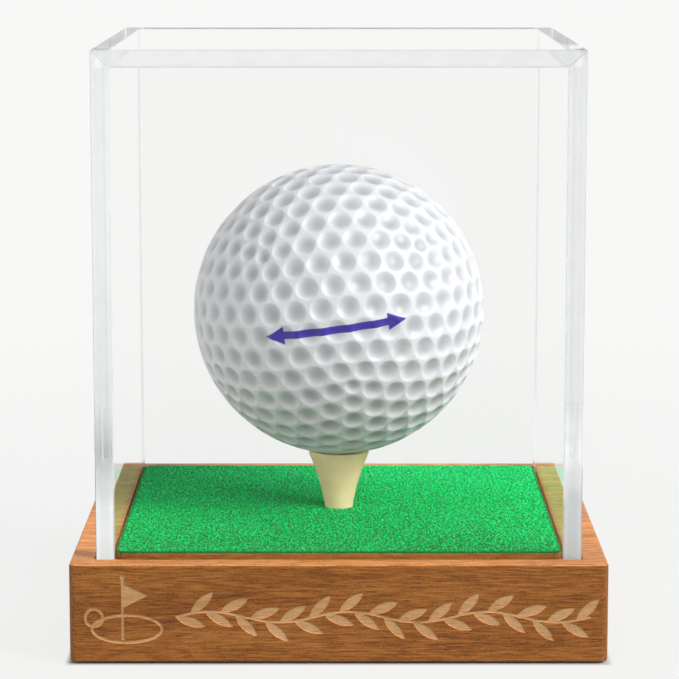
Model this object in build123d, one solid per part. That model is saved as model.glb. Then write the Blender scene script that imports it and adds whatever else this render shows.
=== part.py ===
from build123d import *
import os
from itertools import combinations, product
from math import atan2, cos, radians, sin, sqrt

import numpy as np

# Golf ball display case: a wood plinth with a turf pad, a tee that carries
# one dimpled golf ball, and a lift-off cover of five mitred acrylic panes.
# Millimetres. The origin is at the middle of the footprint, on the surface
# that the case stands on. +Z is up and the front faces -Y.

# Golf ball
ball_diameter = 42.67
dimple_depth = 0.3  # from the ball's round surface to a dimple's bottom
land_reach = 0.57  # from the middle of a land, where three dimples meet, to its tips
dimple_steps = 7  # from one five-fold dimple to the next
evening_rounds = 12  # rounds that even out the spacing of the dimples

# Tee
tee_rise = 8.35  # from the turf to the rim
tee_rim_diameter = 8.9
tee_stem_diameter = 4.2  # straight stem, through the turf and into the plinth
tee_rim_band = 0.5  # height of the upright band below the rim
tee_rim_land = 0.45  # width of the flat top of the rim
tee_flare_turn = 16  # degrees that the flare turns through, foot to rim
tee_peg_length = 8.0  # below the top of the plinth
tee_peg_chamfer = 0.5
tee_cup_depth = 1.4  # hollow in the rim, which the ball bridges
tee_cup_floor = 4.0  # diameter of the hollow's flat floor
seat_gap = 0.1  # between the ball and the inner edge of the rim

# Wood plinth
rim_width = 3.3  # wood outside the groove
base_top = 14.0  # top of the plinth above the table
base_corner_radius = 1.0
base_edge_ease = 0.3
groove_depth = 3.0
groove_corner_radius = 0.5
groove_edge_ease = 0.15
island_corner_radius = 1.5
peg_clearance = 0.05
peg_hole_spare = 0.8  # room for glue below the peg

# Turf pad
turf_thickness = 0.8
turf_inset = 0.05  # from the edge of the island
turf_hole_clearance = 0.15

# Acrylic cover
cover_width = 67.0
cover_height = 73.0  # from the floor of the groove
wall = 2.4
cover_clearance = 0.2  # outside the cover, in the groove
island_clearance = 0.15  # inside the cover, beside the island

# Feet
foot_diameter = 8.0
foot_thickness = 1.5
foot_reveal = 0.3  # how far a foot stands out of its recess
foot_inset = 10.0  # from the plinth's sides to the middle of a foot
foot_clearance = 0.15

tiny = 1e-6  # for comparing unit vectors

groove_floor = base_top - groove_depth
cover_top = groove_floor + cover_height
outer_half = cover_width / 2
inner_half = outer_half - wall
island_width = cover_width - 2 * (wall + island_clearance)
groove_width = cover_width + 2 * cover_clearance
base_width = groove_width + 2 * rim_width
foot_place = base_width / 2 - foot_inset
turf_top = base_top + turf_thickness
rim_height = turf_top + tee_rise
cup_half = tee_rim_diameter / 2 - tee_rim_land
ball_radius = ball_diameter / 2
ball_centre = Vector(0, 0, rim_height + sqrt((ball_radius + seat_gap) ** 2 - cup_half**2))


def make_plinth():
    """Wood block with a groove for the cover, a hole for the tee and four foot recesses."""
    block = Pos(0, 0, foot_reveal) * Box(
        base_width, base_width, base_top - foot_reveal, align=(Align.CENTER, Align.CENTER, Align.MIN)
    )
    block = fillet(block.edges().filter_by(Axis.Z), base_corner_radius)
    block = chamfer(block.faces().sort_by(Axis.Z)[-1].edges(), base_edge_ease)
    block = chamfer(block.faces().sort_by(Axis.Z)[0].edges(), base_edge_ease)
    ring = RectangleRounded(groove_width, groove_width, groove_corner_radius)
    ring -= RectangleRounded(island_width, island_width, island_corner_radius)
    block -= Pos(0, 0, groove_floor) * extrude(ring, groove_depth)
    tops = block.faces().filter_by_position(Axis.Z, base_top, base_top).sort_by(SortBy.AREA)
    block = chamfer(tops[-1].edges() + tops[0].inner_wires()[0].edges(), groove_edge_ease)
    hole_depth = tee_peg_length + peg_hole_spare
    block -= Pos(0, 0, base_top - hole_depth) * Cylinder(
        tee_stem_diameter / 2 + peg_clearance, hole_depth, align=(Align.CENTER, Align.CENTER, Align.MIN)
    )
    recess = Cylinder(
        foot_diameter / 2 + foot_clearance,
        foot_thickness - foot_reveal,
        align=(Align.CENTER, Align.CENTER, Align.MIN),
    )
    for x, y in foot_spots().values():
        block -= Pos(x, y, foot_reveal) * recess
    return block


def foot_spots():
    """The four feet by name, with the middle of each."""
    sides = {"left": -foot_place, "right": foot_place}
    ends = {"front": -foot_place, "back": foot_place}
    return {f"foot_{end}_{side}": (x, y) for end, y in ends.items() for side, x in sides.items()}


def make_foot(x, y):
    """Soft disc that sits in its recess and stands a little out of it."""
    return Pos(x, y, 0) * Cylinder(
        foot_diameter / 2, foot_thickness, align=(Align.CENTER, Align.CENTER, Align.MIN)
    )


def make_turf():
    """Thin pad on the island, with a hole that the tee's stem passes through."""
    side = island_width - 2 * turf_inset
    pad = RectangleRounded(side, side, island_corner_radius - turf_inset)
    pad -= Circle(tee_stem_diameter / 2 + turf_hole_clearance)
    return Pos(0, 0, base_top) * extrude(pad, turf_thickness)


def make_tee():
    """Turned tee: peg, concave flare, upright rim band and a countersunk cup that the ball bridges."""
    rim = tee_rim_diameter / 2
    stem = tee_stem_diameter / 2
    peg_end = base_top - tee_peg_length
    cup_bottom = rim_height - tee_cup_depth
    flare_top = rim_height - tee_rim_band
    lean = atan2(rim - stem, flare_top - turf_top)
    start = lean - radians(tee_flare_turn) / 2
    with BuildPart() as tee:
        with BuildSketch(Plane.XZ):
            with BuildLine():
                end = Line((0, peg_end), (stem - tee_peg_chamfer, peg_end))
                corner = Line(end @ 1, (stem, peg_end + tee_peg_chamfer))
                side = Line(corner @ 1, (stem, turf_top))
                flare = TangentArc(side @ 1, (rim, flare_top), tangent=(sin(start), cos(start)))
                band = Line(flare @ 1, (rim, rim_height))
                land = Line(band @ 1, (cup_half, rim_height))
                slope = Line(land @ 1, (tee_cup_floor / 2, cup_bottom))
                Polyline(slope @ 1, (0, cup_bottom), end @ 0)
            make_face()
        revolve(axis=Axis.Z)
    return tee.part


def unit(v):
    return v / np.linalg.norm(v)


def five_fold_dimples():
    """Unit vectors to the twelve corners of an icosahedron."""
    golden = (1 + sqrt(5)) / 2
    corners = []
    for a, b in product((1, -1), (golden, -golden)):
        corners += [(0, a, b), (a, b, 0), (b, 0, a)]
    return np.array([unit(np.array(c)) for c in corners])


def dimple_lattice(fives):
    """Unit vectors to all dimples: an even lattice on every face of the icosahedron."""
    edge = max(fives[1:] @ fives[0])
    found = []
    for a, b, c in combinations(fives, 3):
        if min(a @ b, b @ c, c @ a) < edge - tiny:
            continue
        for i in range(dimple_steps + 1):
            for j in range(dimple_steps + 1 - i):
                spot = unit((dimple_steps - i - j) * a + i * b + j * c)
                if not found or max(np.array(found) @ spot) < 1 - tiny:
                    found.append(spot)
    return np.array(found)


def dimple_rings(centres, fives):
    """For each dimple, its five or six neighbours, anticlockwise from outside."""
    nearest = np.argsort(-(centres @ centres.T), axis=1)
    rings = []
    for n, centre in enumerate(centres):
        count = 5 if max(fives @ centre) > 1 - tiny else 6
        near = nearest[n][1 : count + 1]
        east = unit(np.cross(centre, centres[near[0]]))
        north = np.cross(centre, east)
        rings.append(sorted(near, key=lambda m: atan2(centres[m] @ north, centres[m] @ east)))
    return rings


def flat_face(*points):
    return Face(Wire.make_polygon([Vector(*p) for p in points], close=True))


def make_ball():
    """Ball covered with flat-sided dimples.

    Two neighbouring dimples share one side of their rims. Where three of them meet, a flat
    land with three tips is left between them.
    """
    fives = five_fold_dimples()
    centres = dimple_lattice(fives)
    rings = dimple_rings(centres, fives)
    for _ in range(evening_rounds):
        centres = np.array([unit(sum(centres[m] for m in ring)) for ring in rings])

    lands = {}
    for n, ring in enumerate(rings):
        for m, after in zip(ring, ring[1:] + ring[:1]):
            normal = np.cross(centres[m] - centres[n], centres[after] - centres[n])
            lands[frozenset((n, m, after))] = unit(normal)

    def land_tip(n, m, third):
        """Tip of the land between three dimples, on the line that parts the first two."""
        middle = lands[frozenset((n, m, third))]
        along = unit(np.cross(middle, centres[n] - centres[m]))
        if along @ centres[third] > 0:
            along = -along
        spread = land_reach / ball_radius
        return ball_radius * (middle * cos(spread) + along * sin(spread))

    faces = []
    for n, ring in enumerate(rings):
        bottom = centres[n] * (ball_radius - dimple_depth)
        rim = []
        for m, after in zip(ring, ring[1:] + ring[:1]):
            rim += [land_tip(n, m, after), land_tip(n, after, m)]
            if n < min(m, after):
                faces.append(flat_face(land_tip(n, m, after), land_tip(m, after, n), land_tip(after, n, m)))
        faces += [flat_face(bottom, p, q) for p, q in zip(rim, rim[1:] + rim[:1])]
    return Pos(ball_centre) * Solid(Shell(faces))


def make_upright(turn):
    """Upright pane, mitred down both sides and along its top edge."""
    plan = Polygon(
        (-outer_half, -outer_half),
        (outer_half, -outer_half),
        (inner_half, -inner_half),
        (-inner_half, -inner_half),
        align=None,
    )
    pane = Pos(0, 0, groove_floor) * extrude(plan, cover_top - groove_floor)
    mitre = Plane(origin=(0, -outer_half, cover_top), z_dir=(0, 1, 1))
    return Rot(0, 0, turn) * split(pane, bisect_by=mitre, keep=Keep.BOTTOM)


def make_top_pane():
    """Square top pane, mitred on all four sides."""
    inside = Pos(0, 0, cover_top - wall) * Rectangle(2 * inner_half, 2 * inner_half)
    return extrude(inside, wall, taper=-45)


pieces = {
    "wood_base": make_plinth(),
    "turf_mat": make_turf(),
    "golf_tee": make_tee(),
    "golf_ball": make_ball(),
    "top_pane": make_top_pane(),
}
for side, turn in {"front": 0, "right": 90, "back": 180, "left": 270}.items():
    pieces[f"{side}_pane"] = make_upright(turn)
for name, spot in foot_spots().items():
    pieces[name] = make_foot(*spot)

os.makedirs("parts", exist_ok=True)
for name, piece in pieces.items():
    export_step(piece, f"parts/{name}.step")
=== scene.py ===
import random
from math import atan2, cos, pi, radians, sin, sqrt

import bmesh
import bpy
from mathutils import Euler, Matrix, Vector


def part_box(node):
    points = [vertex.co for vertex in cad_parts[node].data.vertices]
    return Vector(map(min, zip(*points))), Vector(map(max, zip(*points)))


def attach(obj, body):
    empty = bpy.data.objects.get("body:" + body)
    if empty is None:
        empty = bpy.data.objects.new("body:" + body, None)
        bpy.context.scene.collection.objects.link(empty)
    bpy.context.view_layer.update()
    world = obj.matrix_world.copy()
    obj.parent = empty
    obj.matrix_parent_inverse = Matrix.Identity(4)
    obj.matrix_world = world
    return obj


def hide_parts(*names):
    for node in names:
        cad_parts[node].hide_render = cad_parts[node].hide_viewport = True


# Golf ball display case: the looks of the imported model, in metres and in the model's own frame.

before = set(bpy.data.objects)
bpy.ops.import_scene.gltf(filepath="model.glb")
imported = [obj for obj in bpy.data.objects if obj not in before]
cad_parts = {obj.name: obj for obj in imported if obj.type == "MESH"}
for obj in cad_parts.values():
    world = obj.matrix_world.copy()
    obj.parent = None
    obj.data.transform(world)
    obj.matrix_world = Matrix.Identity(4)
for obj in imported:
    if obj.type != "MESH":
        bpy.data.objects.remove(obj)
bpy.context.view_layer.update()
mm = 0.001
near = 0.01 * mm  # for comparing places
print("frame loaded:", len(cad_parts), "nodes")


# Small helpers


def linear(hexText):  # an sRGB hex colour as linear RGBA
    parts = [int(hexText[i : i + 2], 16) / 255 for i in (1, 3, 5)]
    return [c / 12.92 if c <= 0.04045 else ((c + 0.055) / 1.055) ** 2.4 for c in parts] + [1.0]


def addNode(tree, kind, settings=None, links=None):
    # keys are attributes, input names or input numbers, and a link comes from a socket or a first output
    made = tree.nodes.new("ShaderNode" + kind)
    for key, value in (settings or {}).items():
        if isinstance(key, str) and hasattr(made, key):
            setattr(made, key, value)
        else:
            made.inputs[key].default_value = value
    for key, source in (links or {}).items():
        tree.links.new(getattr(source, "outputs", [source])[0], made.inputs[key])
    return made


def newMaterial(name):  # an empty node material, its nodes and its place on the piece
    material = bpy.data.materials.new(name)
    material.use_nodes = True
    tree = material.node_tree
    tree.nodes.clear()
    return material, tree, addNode(tree, "TexCoord").outputs["Object"]


def finished(material, shader):
    addNode(material.node_tree, "OutputMaterial", links={0: shader})
    return material


def ramp(tree, factor, stops):  # a colour ramp from (place, hex colour) pairs
    made = addNode(tree, "ValToRGB", links={0: factor})
    band = made.color_ramp
    while len(band.elements) < len(stops):
        band.elements.new(0.5)
    for element, (place, hexText) in zip(band.elements, stops):
        element.position = place
        element.color = linear(hexText)
    return made


def deselect():
    if bpy.context.mode != "OBJECT":
        bpy.ops.object.mode_set(mode="OBJECT")
    bpy.ops.object.select_all(action="DESELECT")


def startEdit(obj, kind="FACE"):  # edit mode with everything selected
    deselect()
    bpy.context.view_layer.objects.active = obj
    obj.select_set(True)
    bpy.ops.object.mode_set(mode="EDIT")
    bpy.ops.mesh.select_mode(type=kind)
    bpy.ops.mesh.select_all(action="SELECT")


def choose(obj, kind, test):  # selects the faces, edges or verts that pass a test
    bpy.ops.mesh.select_mode(type={"faces": "FACE", "edges": "EDGE", "verts": "VERT"}[kind])
    bpy.ops.mesh.select_all(action="DESELECT")
    shape = bmesh.from_edit_mesh(obj.data)
    shape.normal_update()
    for item in getattr(shape, kind):
        if test(item):
            item.select_set(True)
    bmesh.update_edit_mesh(obj.data)


def middle(item):  # the middle of a face or edge
    return sum((v.co for v in item.verts), Vector()) / len(item.verts)


def applyModifier(obj, kind, **settings):
    deselect()
    bpy.context.view_layer.objects.active = obj
    obj.select_set(True)
    modifier = obj.modifiers.new(kind.lower(), kind)
    for key, value in settings.items():
        setattr(modifier, key, value)
    bpy.ops.object.modifier_apply(modifier=modifier.name)


def addBlock(name, low, high):  # a box between two corners, with its place in its mesh
    deselect()
    low, high = Vector(low), Vector(high)
    bpy.ops.mesh.primitive_cube_add(size=1, location=(low + high) / 2)
    obj = bpy.context.object
    obj.name = name
    obj.scale = high - low
    bpy.ops.object.transform_apply(location=True, rotation=True, scale=True)
    return obj


def addRod(name, radius, low, high, place=(0, 0), vertices=48):  # an upright closed cylinder
    deselect()
    bpy.ops.mesh.primitive_cylinder_add(
        vertices=vertices, radius=radius, depth=high - low, location=(*place, (low + high) / 2)
    )
    obj = bpy.context.object
    obj.name = name
    bpy.ops.object.transform_apply(location=True, rotation=True, scale=True)
    return obj


def joined(parts):
    deselect()
    for part in parts:
        part.select_set(True)
    bpy.context.view_layer.objects.active = parts[0]
    bpy.ops.object.join()
    return bpy.context.object


def cutAway(obj, cutter, **settings):  # boolean difference, and the cutter goes
    applyModifier(obj, "BOOLEAN", operation="DIFFERENCE", solver="EXACT", object=cutter, **settings)
    bpy.data.objects.remove(cutter, do_unlink=True)


def cleanUp(obj, angle=None):  # doubles merged, normals outward, smooth shading
    startEdit(obj, "VERT")
    bpy.ops.mesh.remove_doubles(threshold=0.0005 * mm)
    bpy.ops.mesh.normals_make_consistent(inside=False)
    bpy.ops.object.mode_set(mode="OBJECT")
    if angle is None:
        bpy.ops.object.shade_smooth()
    else:
        bpy.ops.object.shade_smooth_by_angle(angle=radians(angle))


def place(obj, material, body, slot, *nodes):  # finish, body and the CAD nodes that it stands for
    if material:
        obj.data.materials.clear()
        obj.data.materials.append(material)
    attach(obj, body)
    if nodes:
        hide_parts(*nodes)


# Camera

camera = dict(place=(0.0001, -0.427, 0.1045), tilt=81.35, lens=154.74, clip=(0.01, 50))


def makeCamera():
    data = bpy.data.cameras.new("camera")
    data.lens = camera["lens"]
    obj = bpy.data.objects.new("camera", data)
    bpy.context.scene.collection.objects.link(obj)
    obj.location = camera["place"]
    obj.rotation_euler = (radians(camera["tilt"]), 0, 0)
    data.clip_start, data.clip_end = camera["clip"]
    bpy.context.scene.camera = obj


makeCamera()
print("camera placed")


# Materials

woodGrain = dict(
    streak=(3.4, 0.17),  # mm, length and thickness of the fine streaks
    band=(36.0, 3.2),  # mm, length and thickness of the broad bands
    pore=(1.9, 0.13),  # mm, length and thickness of the open pores
    grit=0.22,  # mm, the size of the finest mottling
    light="#C78340",
    mid="#AE6B2C",
    dark="#83491B",
    poreColour="#573015",
    roughness=0.6,  # strength of the finer steps of each noise
    bandShare=0.4,  # how much the bands add to the streaks
    gritShare=0.3,
    gritStretch=1.6,
    toneRange=(0.67, 1.03),  # of that sum, from dark to light
    poreRange=(0.6, 0.7),
    poreShare=0.7,
    paintedTopLight=2.05,  # painted light: the flat top is painted paler by this, as if lit more from above
    paintedTopSaturation=0.97,
    paintedTopRange=(0.3, 0.55),  # of the normal's height, from the sides to the top
    endDraw=0.12,  # share of the pattern's steps across the end grain
    endRange=(0.6, 0.8),  # of the normal along X, from the sides to the ends
)


def stretchedNoise(tree, coords, size, detail=3.0, seed=0.0):  # noise drawn out along X, sizes in mm
    length, thickness = size
    across = 1 / (thickness * mm)
    mapping = addNode(
        tree,
        "Mapping",
        {"Location": (seed, seed, seed), "Scale": (1 / (length * mm), across, across)},
        {"Vector": coords},
    )
    return addNode(
        tree,
        "TexNoise",
        {"Scale": 1.0, "Detail": detail, "Roughness": woodGrain["roughness"]},
        {"Vector": mapping},
    )


def woodColour(tree, coords, grain):  # colour and height of straight grain along X, in layers at its ends
    normal = addNode(tree, "TexCoord").outputs["Normal"]
    faces = addNode(tree, "VectorMath", {"operation": "ABSOLUTE"}, {0: normal})
    ends = addNode(tree, "SeparateXYZ", links={0: faces})
    low, high = grain["endRange"]
    drawn = addNode(
        tree,
        "MapRange",
        {"From Min": low, "From Max": high, "To Min": 1.0, "To Max": grain["endDraw"]},
        {"Value": ends},
    )
    widths = addNode(tree, "CombineXYZ", {"X": 1.0, "Z": 1.0}, {"Y": drawn})
    coords = addNode(tree, "VectorMath", {"operation": "MULTIPLY"}, {0: coords, 1: widths})
    streaks = stretchedNoise(tree, coords, grain["streak"])
    bands = stretchedNoise(tree, coords, grain["band"], 2.0, 7.0)
    pores = stretchedNoise(tree, coords, grain["pore"], 2.0, 3.0)
    grit = stretchedNoise(tree, coords, (grain["gritStretch"] * grain["grit"], grain["grit"]), 1.0, 5.0)
    both = streaks
    for more, share in ((bands, grain["bandShare"]), (grit, grain["gritShare"])):
        both = addNode(tree, "Math", {"operation": "MULTIPLY_ADD", 1: share}, {0: more, 2: both})
    low, high = grain["toneRange"]
    spread = addNode(tree, "MapRange", {"From Min": low, "From Max": high}, {"Value": both})
    tone = ramp(tree, spread, [(0.0, grain["dark"]), (0.5, grain["mid"]), (1.0, grain["light"])])
    low, high = grain["poreRange"]
    openPore = addNode(tree, "MapRange", {"From Min": low, "From Max": high}, {"Value": pores})
    faded = addNode(tree, "Math", {"operation": "MULTIPLY", 1: grain["poreShare"]}, {0: openPore})
    mixed = addNode(
        tree, "Mix", {"data_type": "RGBA", 7: linear(grain["poreColour"])}, {0: faded, 6: tone}
    ).outputs[2]
    # painted light: faces that look up are painted paler, standing in for the light from above
    rise = addNode(tree, "SeparateXYZ", links={0: normal}).outputs["Z"]
    low, high = grain["paintedTopRange"]
    flat = addNode(tree, "MapRange", {"From Min": low, "From Max": high}, {"Value": rise})
    paler = addNode(
        tree,
        "HueSaturation",
        {"Saturation": grain["paintedTopSaturation"], "Value": grain["paintedTopLight"]},
        {"Color": mixed},
    )
    mixed = addNode(tree, "Mix", {"data_type": "RGBA"}, {0: flat, 6: mixed, 7: paler}).outputs[2]
    height = addNode(tree, "Math", {"operation": "SUBTRACT"}, {0: streaks, 1: openPore})
    return mixed, height


def oiledWood():  # straight-grained hardwood, planed and oiled: fine streaks, open pores, a low sheen
    material, tree, coords = newMaterial("oiledWood")
    tone, height = woodColour(tree, coords, woodGrain)
    bump = addNode(tree, "Bump", {"Strength": 0.5, "Distance": 0.04 * mm}, {"Height": height})
    shader = addNode(
        tree,
        "BsdfPrincipled",
        {"Roughness": 0.5, "IOR": 1.5, "Specular IOR Level": 0.35},
        {"Base Color": tone, "Normal": bump},
    )
    return finished(material, shader)


def engravedWood():  # the same wood burnt back by a laser and cleaned: paler and matt in the cut lines
    material, tree, coords = newMaterial("engravedWood")
    burnt = dict(light="#EDBF8C", mid="#E0AF79", dark="#CC9861", poreColour="#A97A48")
    tone, height = woodColour(tree, coords, {**woodGrain, **burnt})
    bump = addNode(tree, "Bump", {"Strength": 0.4, "Distance": 0.03 * mm}, {"Height": height})
    shader = addNode(
        tree, "BsdfPrincipled", {"Roughness": 0.85, "IOR": 1.45}, {"Base Color": tone, "Normal": bump}
    )
    return finished(material, shader)


def nylonPile():  # dyed nylon fibre, cut short: painted shade darkens it towards the root, painted light makes it paler at the back, and each tuft has its own green
    material, tree, coords = newMaterial("nylonPile")
    axes = addNode(tree, "SeparateXYZ", links={0: coords})
    # painted shade: the pile is darker towards the root, where the tufts shade each other
    rise = addNode(
        tree,
        "MapRange",
        {"From Min": turf["pileFoot"] * mm, "From Max": turf["pileTop"] * mm},
        {"Value": axes.outputs["Z"]},
    )
    vary = addNode(  # painted light: the pile is painted paler towards the back edge
        tree,
        "Math",
        {"operation": "MULTIPLY_ADD", 1: turf["paintedBackLight"] / (turf["reach"] * mm)},
        {0: axes.outputs["Y"], 2: rise},
    )
    own = addNode(tree, "Attribute", {"attribute_name": "tuftShade"}).outputs["Fac"]
    scale = 1 / (turf["patch"] * mm)
    patches = addNode(tree, "TexNoise", {"Scale": scale, "Detail": 2.0}, {"Vector": coords})
    for more, share in ((own, turf["ownShare"]), (patches, turf["patchShare"])):
        vary = addNode(tree, "Math", {"operation": "MULTIPLY_ADD", 1: share}, {0: more, 2: vary})
    low, high = turf["toneRange"]
    spread = addNode(tree, "MapRange", {"From Min": low, "From Max": high}, {"Value": vary})
    tone = ramp(tree, spread, turf["greens"])
    bounce = addNode(tree, "LightPath").outputs["Is Diffuse Ray"]
    paled = addNode(tree, "Math", {"operation": "MULTIPLY", 1: turf["paled"]}, {0: bounce})
    tint = addNode(tree, "Mix", {"data_type": "RGBA", 7: linear(turf["bounce"])}, {0: paled, 6: tone})
    shader = addNode(
        tree,
        "BsdfPrincipled",
        {"Roughness": 0.75, "IOR": 1.5, "Specular IOR Level": 0.12},
        {"Base Color": tint.outputs[2]},
    )
    return finished(material, shader)


def turfBackingCloth():  # woven backing, coated green: a dark matt ground between the tufts
    material, tree, coords = newMaterial("coatedTurfBacking")
    weave = addNode(tree, "TexNoise", {"Scale": 1 / (0.4 * mm), "Detail": 2.0}, {"Vector": coords})
    tone = ramp(tree, weave, [(0.3, "#066A28"), (0.7, "#0E8A38")])
    bump = addNode(tree, "Bump", {"Strength": 0.6, "Distance": 0.05 * mm}, {"Height": weave})
    shader = addNode(
        tree, "BsdfPrincipled", {"Roughness": 0.9, "IOR": 1.5}, {"Base Color": tone, "Normal": bump}
    )
    return finished(material, shader)


def mouldedTeePlastic():  # cream polystyrene, injection moulded: satin, with faint flow marks
    material, tree, coords = newMaterial("mouldedTeePlastic")
    flow = addNode(tree, "TexNoise", {"Scale": 1 / (2.5 * mm), "Detail": 3.0}, {"Vector": coords})
    grit = addNode(tree, "TexNoise", {"Scale": 1 / (0.15 * mm), "Detail": 2.0}, {"Vector": coords})
    tone = ramp(tree, flow, [(0.3, "#F4DFA2"), (0.7, "#FAE8B4")])
    bump = addNode(tree, "Bump", {"Strength": 0.3, "Distance": 0.01 * mm}, {"Height": grit})
    shader = addNode(
        tree,
        "BsdfPrincipled",
        {"Roughness": 0.38, "IOR": 1.55, "Subsurface Weight": 0.15, "Subsurface Scale": 0.6 * mm},
        {"Base Color": tone, "Normal": bump},
    )
    return finished(material, shader)


def paintedBallCover():  # ionomer cover, painted white and clear coated, with a pad-printed line and painted shade in the hollows of the dimples
    material, tree, coords = newMaterial("paintedBallCover")
    mapping = addNode(
        tree,
        "Mapping",
        {
            "vector_type": "TEXTURE",
            "Location": [a * mm for a in ball["printPlace"]],
            "Rotation": (0, radians(ball["printTurn"]), 0),
        },
        {"Vector": coords},
    )
    axes = addNode(tree, "SeparateXYZ", links={0: mapping})
    along, across = (
        addNode(tree, "Math", {"operation": "ABSOLUTE"}, {0: axes.outputs[axis]}) for axis in "XZ"
    )
    half, tip = ball["printLength"] / 2 * mm, ball["tipLength"] * mm
    onLine = addNode(tree, "Math", {"operation": "LESS_THAN", 1: half - tip}, {0: along})
    thin = addNode(tree, "Math", {"operation": "LESS_THAN", 1: ball["lineWidth"] / 2 * mm}, {0: across})
    line = addNode(tree, "Math", {"operation": "MULTIPLY"}, {0: onLine, 1: thin})
    slope = ball["tipWidth"] / 2 / ball["tipLength"]  # the arrow tips narrow towards their ends
    left = addNode(tree, "Math", {"operation": "SUBTRACT", 0: half}, {1: along})
    room = addNode(tree, "Math", {"operation": "MULTIPLY", 1: slope}, {0: left})
    under = addNode(tree, "Math", {"operation": "LESS_THAN"}, {0: across, 1: room})
    past = addNode(tree, "Math", {"operation": "GREATER_THAN", 1: half - tip}, {0: along})
    arrow = addNode(tree, "Math", {"operation": "MULTIPLY"}, {0: under, 1: past})
    marked = addNode(tree, "Math", {"operation": "MAXIMUM"}, {0: line, 1: arrow})
    front = addNode(tree, "Math", {"operation": "LESS_THAN", 1: 0.0}, {0: axes.outputs["Y"]})
    printed = addNode(tree, "Math", {"operation": "MULTIPLY"}, {0: marked, 1: front})
    size, strength = ball["cloud"]
    cloud = addNode(tree, "TexNoise", {"Scale": 1 / (size * mm), "Detail": 2.0}, {"Vector": coords})
    centre = list(sum(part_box("golf_ball"), Vector()) / 2)
    reach = addNode(tree, "VectorMath", {"operation": "DISTANCE", 1: centre}, {0: coords}).outputs["Value"]
    radius = ball["diameter"] / 2
    # painted shade: the white turns greyer towards the floor of each dimple
    outOfHollowShade = addNode(
        tree,
        "MapRange",
        {"From Min": (radius - ball["depth"]) * mm, "From Max": (radius - ball["land"]) * mm},
        {"Value": reach},
    )
    level = addNode(tree, "Math", {"operation": "MULTIPLY_ADD", 1: strength}, {0: cloud, 2: outOfHollowShade})
    whites = ball["whites"]
    white = ramp(tree, level, [(0.05, ball["hollow"]), (0.85, whites[0]), (1.0, whites[1])])
    tone = addNode(tree, "Mix", {"data_type": "RGBA", 7: linear(ball["ink"])}, {0: printed, 6: white})
    shader = addNode(
        tree,
        "BsdfPrincipled",
        {"Roughness": 0.4, "IOR": 1.5, "Coat Weight": 0.25, "Coat Roughness": 0.12},
        {"Base Color": tone.outputs[2]},
    )
    return finished(material, shader)


def polishedAcrylic():  # cast acrylic sheet: clear and glossy with a faint mirror, and lamps shine through it
    material, tree, _ = newMaterial("castAcrylic")
    bent = addNode(
        tree, "BsdfRefraction", {"Color": linear("#FFFFFF"), "Roughness": 0.0, "IOR": cover["ior"]}
    )
    mirror = addNode(tree, "BsdfAnisotropic", {"Color": linear("#FFFFFF"), "Roughness": 0.0})
    fresnel = addNode(tree, "Fresnel", {"IOR": cover["ior"]}).outputs[0]
    inside = addNode(tree, "Math", {"operation": "GREATER_THAN", 1: cover["whollyMirrored"]}, {0: fresnel})
    faint = addNode(tree, "Math", {"operation": "MULTIPLY", 1: cover["mirror"]}, {0: fresnel})
    share = addNode(tree, "Math", {"operation": "MAXIMUM"}, {0: inside, 1: faint})
    glass = addNode(tree, "MixShader", links={0: share, 1: bent, 2: mirror})
    clear = addNode(tree, "BsdfTransparent", {"Color": linear("#FBFCFC")})
    rays = addNode(tree, "LightPath")
    mix = addNode(tree, "MixShader", links={0: rays.outputs["Is Shadow Ray"], 1: glass, 2: clear})
    return finished(material, mix)


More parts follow.
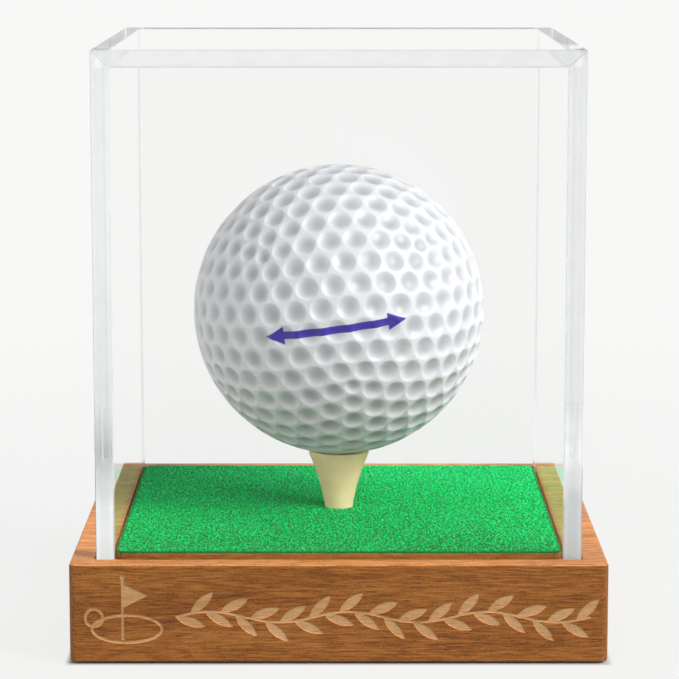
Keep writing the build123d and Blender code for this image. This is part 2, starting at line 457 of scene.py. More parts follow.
def bondedSeam():  # solvent-bonded mitre: mostly see-through with a faint haze, and painted light towards the foot, where milky white stands in for the light that the mitres catch
    material, tree, coords = newMaterial("bondedAcrylicSeam")
    streaks = addNode(tree, "TexNoise", {"Scale": 1 / (3 * mm), "Detail": 1.0}, {"Vector": coords})
    haze = addNode(
        tree,
        "MapRange",
        {"From Min": 0.3, "From Max": 0.7, "To Min": cover["haze"][0], "To Max": cover["haze"][1]},
        {"Value": streaks},
    )
    spot = addNode(tree, "SeparateXYZ", links={0: coords})
    height = spot.outputs["Z"]
    normal = addNode(tree, "TexCoord").outputs["Normal"]
    normal = addNode(tree, "SeparateXYZ", links={0: normal}).outputs["Y"]
    inside = addNode(tree, "NewGeometry").outputs["Backfacing"]
    turned = addNode(tree, "Math", {"operation": "MULTIPLY_ADD", 1: -2.0, 2: 1.0}, {0: inside})
    normal = addNode(tree, "Math", {"operation": "MULTIPLY"}, {0: normal, 1: turned})
    toSpot = addNode(tree, "Math", {"operation": "MULTIPLY"}, {0: normal, 1: spot.outputs["Y"]})
    ownFace = addNode(  # only one of the two faces that meet, the front or the back pane's, takes the milky white
        tree, "Math", {"operation": "LESS_THAN", 1: 0.0}, {0: toSpot}
    )
    # painted light: the milky white grows towards the foot
    foot = addNode(
        tree,
        "MapRange",
        {"From Min": cover["milkyTop"] * mm, "From Max": cover["milkyFull"] * mm},
        {"Value": height, "To Max": ownFace},
    )
    share = addNode(tree, "Math", {"operation": "MAXIMUM"}, {0: haze, 1: foot})
    away = addNode(tree, "VectorMath", {"operation": "ABSOLUTE"}, {0: coords})
    sides = addNode(tree, "SeparateXYZ", links={0: away})
    across = addNode(tree, "Math", {"operation": "MAXIMUM"}, {0: sides.outputs["X"], 1: sides.outputs["Y"]})
    offset = addNode(tree, "Math", {"operation": "SUBTRACT", 1: cover["seamMiddle"] * mm}, {0: across})
    distance = addNode(tree, "Math", {"operation": "ABSOLUTE"}, {0: offset})
    start, full = cover["seamBand"]
    core = addNode(tree, "MapRange", {"From Min": start * mm, "From Max": full * mm}, {"Value": distance})
    below = addNode(tree, "Math", {"operation": "LESS_THAN", 1: cover["underTop"] * mm}, {0: height})
    band = addNode(tree, "Math", {"operation": "MULTIPLY"}, {0: core, 1: below})
    glue = ramp(tree, band, [(0.0, "#FFFFFF"), (1.0, cover["seamGrey"])])
    clear = addNode(tree, "BsdfTransparent", links={"Color": glue})
    front = addNode(tree, "BsdfDiffuse", {"Color": linear("#FCFDFD")})
    inward = addNode(tree, "CombineXYZ", dict(zip("XYZ", cover["inward"])))
    behind = addNode(tree, "BsdfTranslucent", {"Color": linear("#FCFDFD")}, {"Normal": inward})
    milky = addNode(tree, "MixShader", {0: cover["throughSeam"]}, {1: front, 2: behind})
    mix = addNode(tree, "MixShader", links={0: share, 1: clear, 2: milky})
    return finished(material, mix)


def paintedEdgeHighlight():  # flame-polished edge: the softened corner catches light, and a painted white highlight on it makes that a white line
    material, tree, coords = newMaterial("flamePolishedEdgeHighlight")
    streaks = addNode(tree, "TexNoise", {"Scale": 1 / (2.0 * mm), "Detail": 2.0}, {"Vector": coords})
    share = addNode(
        tree,
        "MapRange",
        {"From Min": 0.3, "From Max": 0.7, "To Min": cover["lineShare"][0], "To Max": cover["lineShare"][1]},
        {"Value": streaks},
    )
    depth = addNode(tree, "SeparateXYZ", links={0: coords}).outputs["Y"]
    backPlace, frontPlace = cover["backRange"]
    front = addNode(
        tree,
        "MapRange",
        {"From Min": backPlace * mm, "From Max": frontPlace * mm, "To Min": cover["backHighlight"]},
        {"Value": depth},
    )
    share = addNode(tree, "Math", {"operation": "MULTIPLY"}, {0: share, 1: front})
    clear = addNode(tree, "BsdfTransparent", {"Color": linear("#FFFFFF")})
    white = addNode(
        tree, "BsdfPrincipled", {"Base Color": linear("#FFFFFF"), "Roughness": 0.12, "IOR": cover["ior"]}
    )
    behind = addNode(tree, "BsdfTranslucent", {"Color": linear("#FFFFFF")})
    lit = addNode(tree, "MixShader", {0: 0.5}, {1: white, 2: behind})
    mix = addNode(tree, "MixShader", links={0: share, 1: clear, 2: lit})
    return finished(material, mix)


def sawnEdge():  # sawn, unpolished lower edge: matt and white, and it glows with what light reaches it
    material, tree, coords = newMaterial("sawnAcrylicEdge")
    marks = addNode(tree, "TexNoise", {"Scale": 1 / (0.5 * mm), "Detail": 2.0}, {"Vector": coords})
    tone = ramp(tree, marks, [(0.3, "#F1F2F2"), (0.7, "#FFFFFF")])
    front = addNode(tree, "BsdfDiffuse", links={"Color": tone})
    behind = addNode(tree, "BsdfTranslucent", links={"Color": tone})
    mix = addNode(tree, "MixShader", {0: 0.4}, {1: front, 2: behind})
    return finished(material, mix)


def mouldedRubber():  # nitrile pad, moulded: near black and matt with a fine grit
    material, tree, coords = newMaterial("mouldedRubber")
    grit = addNode(tree, "TexNoise", {"Scale": 1 / (0.3 * mm), "Detail": 3.0}, {"Vector": coords})
    tone = ramp(tree, grit, [(0.3, "#161616"), (0.7, "#242424")])
    bump = addNode(tree, "Bump", {"Strength": 0.5, "Distance": 0.03 * mm}, {"Height": grit})
    shader = addNode(
        tree, "BsdfPrincipled", {"Roughness": 0.8, "IOR": 1.52}, {"Base Color": tone, "Normal": bump}
    )
    return finished(material, shader)


# Wood plinth

plinth = dict(
    corner=1.0,
    ease=0.3,
    rim=3.3,
    groove=2.75,
    grooveDepth=3.0,
    grooveCorner=0.5,
    islandCorner=1.5,
    grooveEase=0.15,
    islandRise=0.35,
    footRecess=4.15,
    recessTop=1.5,
    pegHole=2.15,
    pegHoleDepth=8.8,
    cutDepth=0.1,  # of the engraving
    steps=(5, 3, 2),  # faces round a corner, an eased edge and the groove's edges
    smooth=32,  # degrees
)

feet = ("foot_front_left", "foot_front_right", "foot_back_left", "foot_back_right")

flag = dict(
    pole=(-29.62, 3.42, 12.13),  # x and the two heights
    poleWidth=0.42,
    knob=0.36,
    pennant=[(-29.75, 11.44), (-26.13, 9.7), (-29.6, 7.98)],
    green=(-29.03, 5.0, 4.78, 1.91),  # middle and half sizes of the ring
    greenLine=0.42,
    ring=(-33.55, 6.56, 1.2),
)

laurel = dict(
    start=-22.4, end=34.6, height=6.7, wave=0.75, waves=3, stem=0.34, leaves=14, leaf=(4.4, 1.35), lean=32
)


def bevelEdges(obj, test, offset, segments):
    choose(obj, "edges", test)
    bpy.ops.mesh.bevel(offset=offset * mm, segments=segments, affect="EDGES", profile=0.5)


def upright(edge):
    a, b = (v.co for v in edge.verts)
    return (a - b).length > 1 * mm and abs((a - b).normalized().z) > 0.99


def outness(item):  # how far out from the middle of the case, along X or Y
    spot = middle(item)
    return max(abs(spot.x), abs(spot.y))


def brim(edge):  # an edge between a level face and an upright one
    if len(edge.link_faces) != 2:
        return False
    rises = sorted(abs(face.normal.z) for face in edge.link_faces)
    return rises[0] < 0.05 and rises[1] > 0.99


def prism(name, outline, front, depth):  # a flat outline in x and z, pushed back from the front
    shape = bmesh.new()
    shape.faces.new([shape.verts.new((x * mm, front, z * mm)) for x, z in outline])
    made = bpy.data.meshes.new(name)
    shape.to_mesh(made)
    shape.free()
    obj = bpy.data.objects.new(name, made)
    bpy.context.scene.collection.objects.link(obj)
    startEdit(obj)
    bpy.ops.mesh.extrude_region_move(TRANSFORM_OT_translate={"value": (0, depth, 0)})
    bpy.ops.mesh.select_all(action="SELECT")
    bpy.ops.mesh.normals_make_consistent(inside=False)
    bpy.ops.object.mode_set(mode="OBJECT")
    return obj


def ribbon(points, width, closed=False):  # the outline of a line of one width through some points
    count = len(points)
    sides = ([], [])
    for n, (x, z) in enumerate(points):
        before = points[(n - 1) % count] if closed else points[max(n - 1, 0)]
        after = points[(n + 1) % count] if closed else points[min(n + 1, count - 1)]
        run = Vector((after[0] - before[0], after[1] - before[1])).normalized() * width / 2
        sides[0].append((x - run.y, z + run.x))
        sides[1].append((x + run.y, z - run.x))
    return sides


def ellipse(x, z, halfX, halfZ, count=64):
    return [(x + halfX * cos(2 * pi * n / count), z + halfZ * sin(2 * pi * n / count)) for n in range(count)]


def ringCutter(name, points, width, front, depth):  # a closed ring of one width
    inner, outer = ribbon(points, width, closed=True)
    outside = prism(name, outer, front, depth)
    inside = prism(name + "_core", inner, front - 0.2 * mm, depth + 0.4 * mm)
    cutAway(outside, inside)
    return outside


def leafOutline(x, z, angle, length, width, count=9):  # two arcs that meet in points
    sagitta = width / 2
    radius = (length**2 / 4 + sagitta**2) / (2 * sagitta)
    upper = []
    for n in range(count):
        along = length * n / (count - 1)
        upper.append((along, sqrt(radius**2 - (along - length / 2) ** 2) - radius + sagitta))
    lower = [(a, -b) for a, b in reversed(upper[1:-1])]
    turn = radians(angle)
    return [(x + a * cos(turn) - b * sin(turn), z + a * sin(turn) + b * cos(turn)) for a, b in upper + lower]


def stemPoint(share):  # a point on the stem, and its slope in degrees
    run = laurel["end"] - laurel["start"]
    phase = 2 * pi * laurel["waves"] * share
    x = laurel["start"] + run * share
    z = laurel["height"] + laurel["wave"] * sin(phase)
    slope = laurel["wave"] * 2 * pi * laurel["waves"] / run * cos(phase)
    return x, z, atan2(slope, 1) * 180 / pi


def engravingCutters(front):
    depth = 2 * plinth["cutDepth"] * mm
    x, foot, top = flag["pole"]
    half = flag["poleWidth"] / 2
    cutters = [
        prism("pole", [(x - half, foot), (x + half, foot), (x + half, top), (x - half, top)], front, depth),
        prism("pennant", flag["pennant"], front, depth),
        prism("knob", ellipse(x, top + 0.1, flag["knob"], flag["knob"], 24), front, depth),
        ringCutter("green", ellipse(*flag["green"]), flag["greenLine"], front, depth),
        ringCutter("hole_ball", ellipse(*flag["ring"], flag["ring"][2]), flag["greenLine"], front, depth),
    ]
    steps = 72
    above, below = ribbon([stemPoint(n / steps)[:2] for n in range(steps + 1)], laurel["stem"])
    cutters.append(prism("stem", above + below[::-1], front, depth))
    for n in range(laurel["leaves"]):
        for side in (-1, 1):
            share = (n + 0.25 + 0.25 * side) / laurel["leaves"]
            x, z, slope = stemPoint(share)
            outline = leafOutline(x, z, slope + side * laurel["lean"], *laurel["leaf"])
            cutters.append(prism("leaf", outline, front, depth))
    return cutters


def makePlinth(wood, cutWood):
    low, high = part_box("wood_base")
    obj = addBlock("plinth", low, high)
    half, rimTop = high.x, high.z
    startEdit(obj)
    choose(obj, "faces", lambda f: f.normal.z > 0.9)
    bpy.ops.mesh.inset(thickness=plinth["rim"] * mm)
    bpy.ops.mesh.inset(thickness=plinth["groove"] * mm)
    grooveOuter = half - plinth["rim"] * mm
    island = grooveOuter - plinth["groove"] * mm
    choose(obj, "faces", lambda f: f.normal.z > 0.9 and island < outness(f) < grooveOuter)
    bpy.ops.mesh.extrude_region_move(TRANSFORM_OT_translate={"value": (0, 0, -plinth["grooveDepth"] * mm)})
    choose(obj, "faces", lambda f: f.normal.z > 0.9 and outness(f) < 1 * mm)
    bpy.ops.transform.translate(value=(0, 0, plinth["islandRise"] * mm))
    cornerSteps, easeSteps, grooveSteps = plinth["steps"]
    for wallPlace, radius in ((half, "corner"), (grooveOuter, "grooveCorner"), (island, "islandCorner")):
        bevelEdges(
            obj, lambda e: upright(e) and abs(outness(e) - wallPlace) < near, plinth[radius], cornerSteps
        )
    rimEdge = half - plinth["corner"] * mm
    bevelEdges(obj, lambda e: brim(e) and outness(e) > rimEdge, plinth["ease"], easeSteps)
    top = rimTop - near
    grooveEdge = half - 0.9 * plinth["rim"] * mm
    bevelEdges(
        obj,
        lambda e: brim(e) and middle(e).z > top and outness(e) < grooveEdge,
        plinth["grooveEase"],
        grooveSteps,
    )
    cleanUp(obj, plinth["smooth"])
    obj.data.materials.append(wood)
    holes = [addRod("hole", plinth["pegHole"] * mm, high.z - plinth["pegHoleDepth"] * mm, high.z + 1 * mm)]
    for name in feet:
        footLow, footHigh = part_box(name)
        spot = ((footLow.x + footHigh.x) / 2, (footLow.y + footHigh.y) / 2)
        holes.append(addRod("recess", plinth["footRecess"] * mm, -1 * mm, plinth["recessTop"] * mm, spot))
    holes = joined(holes)
    holes.data.materials.append(wood)
    cutAway(obj, holes)
    for cutter in engravingCutters(low.y - plinth["cutDepth"] * mm):
        cutter.data.materials.append(cutWood)
        cutAway(obj, cutter, material_mode="TRANSFER")
    cleanUp(obj, plinth["smooth"])
    applyModifier(obj, "WEIGHTED_NORMAL", keep_sharp=True)
    place(obj, None, "base", "walnut", "wood_base")


makePlinth(oiledWood(), engravedWood())
print("plinth made")


# Turf pad

turf = dict(
    corner=1.45,
    cornerSteps=8,
    smooth=30,  # degrees
    backing=0.28,  # thickness of the coated cloth
    hole=2.25,
    tuftPitch=0.33,
    tuftWidth=0.19,
    tuftLean=0.2,
    tuftShift=0.4,  # share of the pitch that a tuft may stand off its place
    tuftSpread=(0.8, 1.2),  # shares of the width
    tipDrop=0.16,
    shadePower=1.3,  # above 1, most tufts are dark
    overhang=-0.06,  # of the outermost fibres
    pileFoot=14.63,
    rimFoot=14.37,  # the outermost tufts show their roots
    rimWidth=0.35,
    pileTop=14.8,
    seed=4,
    paintedBackLight=0.3,  # painted light: how much paler the pile is painted at the back edge
    reach=31,  # from the middle to that edge
    ownShare=1.3,
    patch=9.0,  # size of the trodden patches
    patchShare=0.5,
    toneRange=(0.1, 2.3),
    # from the painted shade at the root to the pale tips
    greens=[(0.0, "#006428"), (0.3, "#04E468"), (0.65, "#0CFF86"), (1.0, "#58FFB0")],
    bounce="#AEAEA8",  # keeps the green from tinting the ball
    paled=0.93,
)


def makeTurf():
    low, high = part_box("turf_mat")
    foot = low.z + plinth["islandRise"] * mm
    backing = addBlock("turf_backing", (low.x, low.y, foot), (high.x, high.y, foot + turf["backing"] * mm))
    startEdit(backing)
    choose(backing, "edges", lambda e: abs((e.verts[0].co - e.verts[1].co).normalized().z) > 0.99)
    bpy.ops.mesh.bevel(offset=turf["corner"] * mm, segments=turf["cornerSteps"], affect="EDGES")
    cutAway(backing, addRod("hole", turf["hole"] * mm, low.z - 1 * mm, high.z + 1 * mm))
    cleanUp(backing, turf["smooth"])
    place(backing, turfBackingCloth(), "base", "turf", "turf_mat")

    chance = random.Random(turf["seed"])
    pitch, width = turf["tuftPitch"] * mm, turf["tuftWidth"] * mm
    reach = high.x + turf["overhang"] * mm
    inset = reach - turf["corner"] * mm
    count = int(2 * reach / pitch)
    shift, lean = turf["tuftShift"], turf["tuftLean"] * mm
    verts, faces, shades = [], [], []
    for row in range(count):
        for column in range(count):
            x = -reach + (column + 0.5 + chance.uniform(-shift, shift)) * 2 * reach / count
            y = -reach + (row + 0.5 + chance.uniform(-shift, shift)) * 2 * reach / count
            pastCorner = Vector((max(abs(x) - inset, 0), max(abs(y) - inset, 0))).length
            if pastCorner > turf["corner"] * mm or Vector((x, y)).length < turf["hole"] * mm:
                continue
            turn = chance.uniform(0, 2 * pi)
            radius = width * chance.uniform(*turf["tuftSpread"])
            tip = turf["pileTop"] * mm - chance.uniform(0, turf["tipDrop"]) * mm
            start = len(verts)
            outer = max(abs(x), abs(y)) > reach - turf["rimWidth"] * mm
            foot = (turf["rimFoot"] if outer else turf["pileFoot"]) * mm
            for n in range(3):
                angle = turn + 2 * pi * n / 3
                verts.append((x + radius * cos(angle), y + radius * sin(angle), foot))
            tipX = min(max(x + chance.uniform(-lean, lean), -reach), reach)
            tipY = min(max(y + chance.uniform(-lean, lean), -reach), reach)
            verts.append((tipX, tipY, tip))
            faces += [(start + n, start + (n + 1) % 3, start + 3) for n in range(3)]
            shades += [chance.random() ** turf["shadePower"]] * 4
    made = bpy.data.meshes.new("turf_pile")
    made.from_pydata(verts, [], faces)
    made.attributes.new("tuftShade", "FLOAT", "POINT").data.foreach_set("value", shades)
    made.shade_smooth()
    made.normals_split_custom_set_from_vertices([(0, 0, 1)] * len(verts))  # lit as one level surface
    pile = bpy.data.objects.new("turf_pile", made)
    bpy.context.scene.collection.objects.link(pile)
    place(pile, nylonPile(), "base", "turf", "turf_mat")
    print("turf tufts:", len(faces) // 3)


makeTurf()


# Tee

tee = dict(
    rim=4.45,
    stem=2.1,
    pegChamfer=0.5,
    band=0.5,
    land=0.45,
    rimSoft=0.1,
    cupDepth=1.4,
    cupEase=0.05,
    cupTip=0.02,  # radius of the last ring, before it closes
    flareTurn=16,
    flareSteps=14,
    cupSteps=8,
    sides=96,
    smooth=40,  # degrees
)


def flareArc(low, high, turn, steps):  # radius and height along the arc from the stem to the rim
    (r0, z0), (r1, z1) = low, high
    chord = sqrt((r1 - r0) ** 2 + (z1 - z0) ** 2)
    lean = atan2(r1 - r0, z1 - z0)
    half = radians(turn) / 2
    radius = chord / (2 * sin(half))
    points = []
    for n in range(1, steps + 1):
        swept = 2 * half * n / steps
        run = 2 * radius * sin(swept / 2)
        heading = lean - half + swept / 2
        points.append((r0 + run * sin(heading), z0 + run * cos(heading)))
    return points


def makeTee():
    low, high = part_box("golf_tee")
    foot, top = low.z / mm, high.z / mm
    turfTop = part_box("turf_mat")[1].z / mm
    deselect()
    bpy.ops.mesh.primitive_circle_add(
        vertices=tee["sides"],
        radius=(tee["stem"] - tee["pegChamfer"]) * mm,
        fill_type="NGON",
        location=(0, 0, low.z),
    )
    obj = bpy.context.object
    obj.name = "tee"
    bpy.ops.object.transform_apply(location=True, rotation=True, scale=True)
    bandFoot = top - tee["band"]
    rings = [(tee["stem"], foot + tee["pegChamfer"]), (tee["stem"], turfTop)]
    rings += flareArc((tee["stem"], turfTop), (tee["rim"], bandFoot), tee["flareTurn"], tee["flareSteps"])
    rings += [(tee["rim"], top - tee["rimSoft"]), (tee["rim"] - tee["rimSoft"], top)]
    rings += [(tee["rim"] - tee["land"], top)]
    cup = tee["rim"] - tee["land"] - tee["cupEase"]
    for n in range(1, tee["cupSteps"] + 1):  # a rounded hollow
        angle = pi / 2 * n / tee["cupSteps"]
        rings.append((cup * cos(angle) + tee["cupTip"], top - tee["cupEase"] - tee["cupDepth"] * sin(angle)))
    startEdit(obj)
    radius, height = tee["stem"] - tee["pegChamfer"], foot
    for nextRadius, nextHeight in rings:
        bpy.ops.mesh.extrude_region_move(TRANSFORM_OT_translate={"value": (0, 0, (nextHeight - height) * mm)})
        share = nextRadius / radius
        bpy.ops.transform.resize(value=(share, share, 1), center_override=(0, 0, nextHeight * mm))
        radius, height = nextRadius, nextHeight
    bpy.ops.mesh.merge(type="CENTER")
    cleanUp(obj, tee["smooth"])
    place(obj, mouldedTeePlastic(), "base", "tee_plastic", "golf_tee")


makeTee()
print("tee made")


# Golf ball

ball = dict(
    diameter=42.67,
    dimple=3.4,  # across
    depth=0.6,
    turn=(56.8, -16.2, 49.9),  # degrees, so that the rows run nearly level at the front
    cuts=6,  # between two five-fold dimples: 492 in all
    evening=40,  # rounds that even out the dimples
    spokes=4,  # for each side of a cell
    rings=[0.34, 0.64, 0.84, 0.95, 1.0, 1.07],  # shares of the dimple's radius
    rimFrom=0.95,  # where the rounded rim starts, as such a share
    rimDrop=0.8,
    fiveFold=0.93,  # share of its room that a narrow cell's dimple takes
    hollow="#B4B5B8",  # painted shade, greyer towards the floor of each dimple
    whites=("#D9DADC", "#DEDFE1"),
    cloud=(6.0, 0.15),  # size and strength of the faint clouding
    land=0.05,  # depth at which the painted shade ends and the white is full
    ink="#3A2AA0",
    lineWidth=1.1,
    printLength=20.0,
    tipLength=2.6,
    tipWidth=2.6,
    printPlace=(-0.4, 0, 44.2),
    printTurn=-8,
)


def dimpleCentres():  # an icosahedron's faces cut up evenly, each corner one dimple
    deselect()
    bpy.ops.mesh.primitive_ico_sphere_add(subdivisions=1, radius=1)
    obj = bpy.context.object
    startEdit(obj)
    bpy.ops.mesh.subdivide(number_cuts=ball["cuts"])
    deselect()
    shape = bmesh.new()
    shape.from_mesh(obj.data)
    bpy.data.objects.remove(obj, do_unlink=True)
    for v in shape.verts:
        v.co.normalize()
    for _ in range(ball["evening"]):
        pulls = [  # the longer a gap, the harder it pulls
            sum((e.other_vert(v).co * e.calc_length() ** 2 for e in v.link_edges), Vector()).normalized()
            for v in shape.verts
        ]
        for v, pull in zip(shape.verts, pulls):
            v.co = (2 * v.co + pull).normalized()
    turn = Euler([radians(a) for a in ball["turn"]]).to_matrix()
    for v in shape.verts:
        v.co = turn @ v.co
    shape.faces.index_update()
    return shape


def dimpleDepth(share):  # round hollow with a softened rim, as a share of the full depth
    rim = ball["rimFrom"]
    if share >= 1:
        return 0.0
    return 1 - share**2 if share < rim else (1 - rim**2) * (1 - share) / (1 - rim) * ball["rimDrop"]


def makeBall():
    low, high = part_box("golf_ball")
    centre = (low + high) / 2
    radius = ball["diameter"] / 2 * mm
    lattice = dimpleCentres()
    corners = {face.index: sum((v.co for v in face.verts), Vector()).normalized() for face in lattice.faces}
    verts, faces = [], []
    for v in lattice.verts:
        axis = v.co.normalized()
        east = axis.orthogonal().normalized()
        north = axis.cross(east)
        around = sorted(
            (corners[f.index] for f in v.link_faces), key=lambda c: atan2(c.dot(north), c.dot(east))
        )
        edge = []
        for here, after in zip(around, around[1:] + around[:1]):
            edge += [here.slerp(after, n / ball["spokes"]) for n in range(ball["spokes"])]
        spokes = len(edge)
        room = min(axis.angle(point) for point in edge)  # a five-fold dimple has less of it
        dimpleAngle = min(ball["dimple"] / ball["diameter"], ball["fiveFold"] * room)
        start = len(verts)
        verts.append(centre + axis * (radius - ball["depth"] * mm))
        for share in ball["rings"]:
            angle = dimpleAngle * share
            depth = ball["depth"] * mm * dimpleDepth(share)
            for point in edge:
                aside = (point - axis * point.dot(axis)).normalized()
                verts.append(centre + (axis * cos(angle) + aside * sin(angle)) * (radius - depth))
        verts += [centre + point * radius for point in edge]
        for n in range(spokes):
            after = (n + 1) % spokes
            faces.append((start, start + 1 + n, start + 1 + after))
            for ring in range(len(ball["rings"])):
                a = start + 1 + ring * spokes
                faces.append((a + n, a + spokes + n, a + spokes + after, a + after))
    lattice.free()
    made = bpy.data.meshes.new("ball")
    made.from_pydata(verts, [], faces)
    obj = bpy.data.objects.new("ball", made)
    bpy.context.scene.collection.objects.link(obj)
    cleanUp(obj)
    place(obj, paintedBallCover(), "ball", "ball_cover", "golf_ball")
    print("ball faces:", len(obj.data.polygons))


makeBall()


# Acrylic cover

cover = dict(
    wall=2.4,
    polish=0.12,  # the softened edge of each pane
    smooth=5,  # degrees
    backHighlight=0.25,  # how much of the painted white highlight the back edges have
    mirror=0.35,  # share kept of what bare acrylic would mirror
    milkyTop=30.0,  # heights between which the seams turn milky white, painted light
    milkyFull=21.0,
    seamMiddle=32.3,  # from the case's middle to the middle of a seam
    seamBand=(0.75, 0.5),  # half widths of the greyer band, where it starts and is full
    underTop=81.6,  # only the upright seams have the band
    seamGrey="#F8F9F9",
    haze=(0.13, 0.17),  # least and most of the seams' milkiness above their foot
    throughSeam=0.3,  # share of the milky part that is lit from behind
    inward=(-0.675, 0.494, -0.548),  # away from the key lamp
    lineShare=(0.5, 0.7),  # least and most of the painted white highlight in a polished edge
    backRange=(31.0, 29.0),  # from the back edges to the others
    ior=1.49,
    whollyMirrored=0.98,  # Fresnel above which the light is shut in
)


def makePane(name, direction, finishes):
    low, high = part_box(name)
    obj = addBlock("cover_" + name.split("_")[0], low, high)
    toward = Vector(direction)  # the way that the pane's outer face looks
    startEdit(obj)
    choose(obj, "faces", lambda f: f.normal.dot(toward) < -0.9)
    shape = bmesh.from_edit_mesh(obj.data)
    wall = cover["wall"] * mm
    half, _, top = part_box("top_pane")[1]
    for v in shape.verts:
        if not v.select:
            continue
        for axis in range(3):
            if abs(toward[axis]) > 0.5:
                continue
            if axis < 2 and abs(abs(v.co[axis]) - half) < near:
                v.co[axis] -= wall if v.co[axis] > 0 else -wall
            if axis == 2 and abs(v.co.z - top) < near:
                v.co.z -= wall
    bmesh.update_edit_mesh(obj.data)
    choose(obj, "edges", lambda e: True)
    bpy.ops.mesh.bevel(offset=cover["polish"] * mm, segments=1, affect="EDGES")
    cleanUp(obj, cover["smooth"])
    for finish in finishes:
        obj.data.materials.append(finish)
    for face in obj.data.polygons:
        narrow = face.area < 4 * cover["polish"] * mm * 2 * half
        slanted = -0.95 < face.normal.dot(toward) < -0.2
        under = face.normal.z < -0.95 and toward.z < 0.5
        face.material_index = 3 if under else 2 if narrow else 1 if slanted else 0
    place(obj, None, "cover", "acrylic", name)


def makeCover():
    finishes = polishedAcrylic(), bondedSeam(), paintedEdgeHighlight(), sawnEdge()
    directions = {
        "front_pane": (0, -1, 0),
        "back_pane": (0, 1, 0),
        "left_pane": (-1, 0, 0),
        "right_pane": (1, 0, 0),
        "top_pane": (0, 0, 1),
    }
    for name, direction in directions.items():
        makePane(name, direction, finishes)


makeCover()
print("cover made")


# Feet: the CAD discs stay and get their rubber

rubber = mouldedRubber()
for name in feet:
    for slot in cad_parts[name].material_slots:
        slot.material = rubber


# Studio

studio = dict(
    background="#F8F8F7",
    floor="#F1F0EE",
    floorBounce="#9A9A9A",
    aim=(0, 0, 0.04),
    key=((1.12, -0.82, 0.91), 0.9, 18.8),  # place, size and watts
    fill=((-1.2, -0.95, 0.06), 0.9, 7.0),
    ambient="#5A5B5D",
    overhead="#B6B8BB",
    nearWhite=0.87,  # share of plain white in the paper beside the case
    shadowRim=0.8,  # mm past the plinth in which that white starts
    whiteRange=(0.05, 0.3),  # metres from the middle, where it turns to full white
    darkFront="#848484",  # the unlit room behind the camera, for mirrored rays alone
    darkFloor=(-0.06, -0.14),  # Y where the floor turns dark in them
    darkSky=(0.05, -0.25),  # Y of a direction, the same
    skyRange=(0.1, 0.9),  # Z of a direction, from ambient to overhead
)


def seenRays(tree):  # 1 for rays that show a surface to the eye, and 1 for the mirrored ones among them
    rays = addNode(tree, "LightPath")
    seen = rays.outputs["Is Camera Ray"]
    for kind in ("Is Transmission Ray", "Is Glossy Ray"):
        seen = addNode(tree, "Math", {"operation": "MAXIMUM"}, {0: seen, 1: rays.outputs[kind]})
    scattered = rays.outputs["Diffuse Depth"]
    unscattered = addNode(tree, "Math", {"operation": "LESS_THAN", 1: 0.5}, {0: scattered})
    seen = addNode(tree, "Math", {"operation": "MULTIPLY"}, {0: seen, 1: unscattered})
    mirrors = rays.outputs["Glossy Depth"]
    once = addNode(tree, "Math", {"operation": "GREATER_THAN", 1: 0.5}, {0: mirrors})
    mirrored = addNode(tree, "Math", {"operation": "MULTIPLY"}, {0: seen, 1: once})
    return seen.outputs[0], mirrored.outputs[0], rays


def makeWorld():
    world = bpy.data.worlds.new("studio")
    bpy.context.scene.world = world
    world.use_nodes = True
    tree = world.node_tree
    tree.nodes.clear()
    seen, mirrored, _ = seenRays(tree)
    direction = addNode(tree, "TexCoord").outputs["Generated"]
    toFront = addNode(
        tree,
        "MapRange",
        {"From Min": studio["darkSky"][0], "From Max": studio["darkSky"][1]},
        {"Value": addNode(tree, "SeparateXYZ", links={0: direction}).outputs["Y"]},
    )
    darkening = addNode(tree, "Math", {"operation": "MULTIPLY"}, {0: toFront, 1: mirrored})
    shown = addNode(
        tree,
        "Mix",
        {"data_type": "RGBA", 6: linear(studio["background"]), 7: linear(studio["darkFront"])},
        {0: darkening},
    )
    up = addNode(tree, "SeparateXYZ", links={0: direction}).outputs["Z"]
    low, high = studio["skyRange"]
    softbox = addNode(
        tree,
        "Mix",
        {"data_type": "RGBA", 6: linear(studio["ambient"]), 7: linear(studio["overhead"])},
        {0: addNode(tree, "MapRange", {"From Min": low, "From Max": high}, {"Value": up})},
    )
    colour = addNode(
        tree, "Mix", {"data_type": "RGBA"}, {0: seen, 6: softbox.outputs[2], 7: shown.outputs[2]}
    )
    background = addNode(tree, "Background", links={"Color": colour.outputs[2]})
    addNode(tree, "OutputWorld", links={0: background})


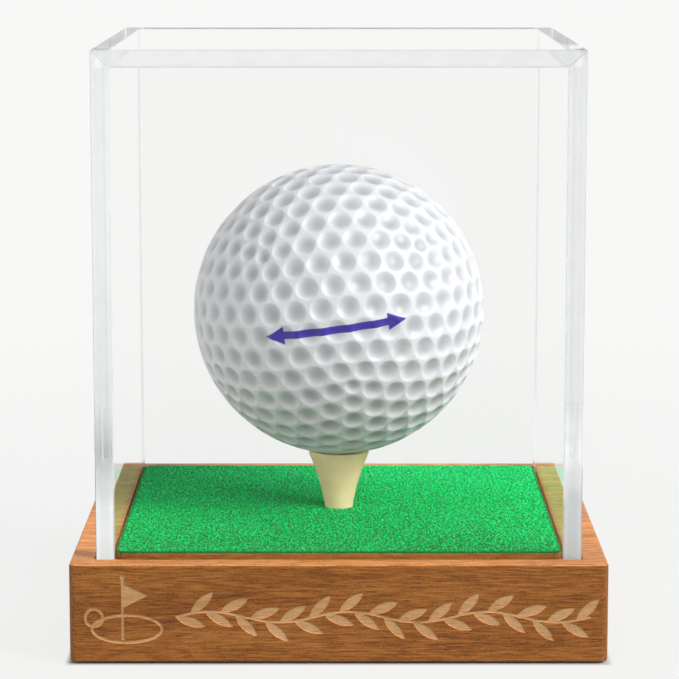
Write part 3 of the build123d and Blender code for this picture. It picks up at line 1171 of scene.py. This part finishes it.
def makeFloor():
    deselect()
    bpy.ops.mesh.primitive_plane_add(size=12, location=(0, 0, 0))
    floor = bpy.context.object
    floor.name = "floor"
    material, tree, coords = newMaterial("paperSweep")
    seen, mirrored, rays = seenRays(tree)
    away = addNode(tree, "VectorMath", {"operation": "LENGTH"}, {0: coords}).outputs["Value"]
    low, high = studio["whiteRange"]
    span = {"From Min": low, "From Max": high, "To Min": studio["nearWhite"]}
    far = addNode(tree, "MapRange", {**span, "interpolation_type": "SMOOTHSTEP"}, {"Value": away})
    ahead = addNode(
        tree,
        "MapRange",
        {"From Min": studio["darkFloor"][0], "From Max": studio["darkFloor"][1]},
        {"Value": addNode(tree, "SeparateXYZ", links={0: coords}).outputs["Y"]},
    )
    around = addNode(tree, "VectorMath", {"operation": "ABSOLUTE"}, {0: coords})
    sides = addNode(tree, "SeparateXYZ", links={0: around})
    beside = addNode(tree, "Math", {"operation": "MAXIMUM"}, {0: sides.outputs["X"], 1: sides.outputs["Y"]})
    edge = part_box("wood_base")[1].x
    outside = addNode(
        tree, "MapRange", {"From Min": edge, "From Max": edge + studio["shadowRim"] * mm}, {"Value": beside}
    )
    paper = addNode(
        tree,
        "Mix",
        {"data_type": "RGBA", 6: linear(studio["floor"]), 7: linear(studio["floorBounce"])},
        {0: rays.outputs["Is Diffuse Ray"]},
    )
    lit = addNode(tree, "BsdfDiffuse", links={"Color": paper.outputs[2]})
    bright = addNode(tree, "Emission", {"Color": linear(studio["background"]), "Strength": 1.0})
    dark = addNode(tree, "Emission", {"Color": linear(studio["darkFront"]), "Strength": 1.0})
    farSeen = addNode(tree, "Math", {"operation": "MULTIPLY"}, {0: far, 1: seen})
    farSeen = addNode(tree, "Math", {"operation": "MULTIPLY"}, {0: farSeen, 1: outside})
    sweep = addNode(tree, "MixShader", links={0: farSeen, 1: lit, 2: bright})
    aheadMirrored = addNode(tree, "Math", {"operation": "MULTIPLY"}, {0: ahead, 1: mirrored})
    whole = addNode(tree, "MixShader", links={0: aheadMirrored, 1: sweep, 2: dark})
    floor.data.materials.append(finished(material, whole))


def makeLamp(name):
    spot, size, watts = studio[name]
    data = bpy.data.lights.new(name, "AREA")
    data.shape = "DISK"
    data.size = size
    data.energy = watts
    obj = bpy.data.objects.new(name, data)
    bpy.context.scene.collection.objects.link(obj)
    obj.location = spot
    aim = Vector(studio["aim"]) - obj.location
    obj.rotation_euler = aim.to_track_quat("-Z", "Y").to_euler()


makeWorld()
makeFloor()
makeLamp("key")
makeLamp("fill")
bpy.context.scene.view_settings.view_transform = "Standard"
print("studio lit")

deselect()
